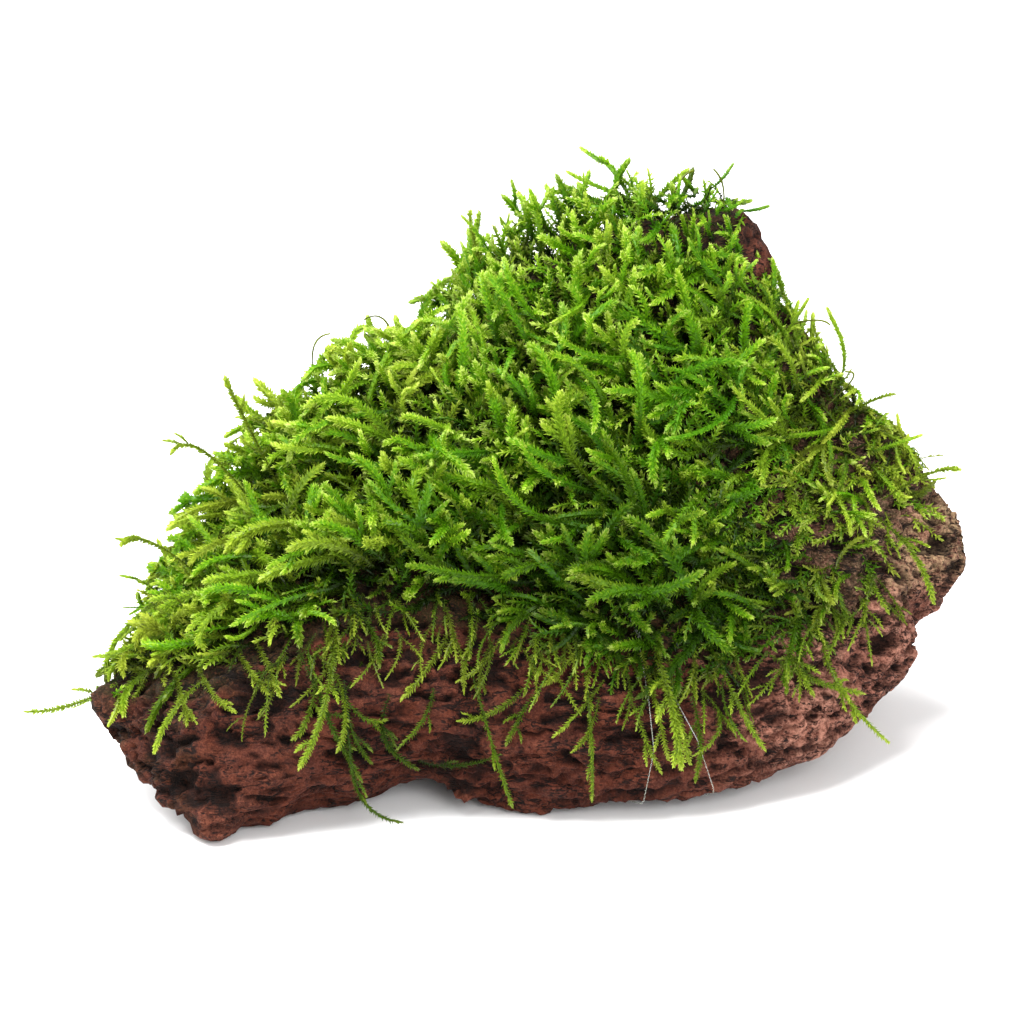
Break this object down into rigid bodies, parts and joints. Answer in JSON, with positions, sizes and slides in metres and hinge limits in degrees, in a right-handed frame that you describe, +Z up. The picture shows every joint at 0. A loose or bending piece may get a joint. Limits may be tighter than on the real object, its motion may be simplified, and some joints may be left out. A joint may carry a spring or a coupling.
{
  "type": "java moss on lava rock",
  "caption": "Java moss grown as a thick carpet over the sloping top of a loose lava rock and tied on with clear nylon thread, for an aquarium.",
  "frame": {"origin": "middle of the footprint box, on the floor that the rock rests on", "axes": "+X along the rock's length, from its low pointed tip to its high blunt end; +Y from the bare front face to the back; +Z up"},
  "size_m": [0.1378, 0.0836, 0.0818],
  "materials": {
    "lava": "rough, porous, matte",
    "moss": "living moss leaves, thin and slightly see-through",
    "nylon": "clear, glossy"
  },
  "bodies": {
    "root": {"lava_rock": "lava", "moss_carpet": "moss", "nylon_thread": "nylon", "shoot_far_left": "moss", "shoot_left_corner": "moss", "shoot_left_spray": "moss", "shoot_over_arch": "moss", "shoot_centre_left": "moss", "shoot_centre": "moss", "shoot_centre_right": "moss", "shoot_right_small": "moss", "shoot_right_long": "moss", "shoot_right_down": "moss", "shoot_right_tip": "moss", "shoot_shoulder": "moss", "shoot_left_mid": "moss", "shoot_left_upper": "moss", "shoot_left_high": "moss", "shoot_crown_left": "moss"}
  },
  "joints": []
}
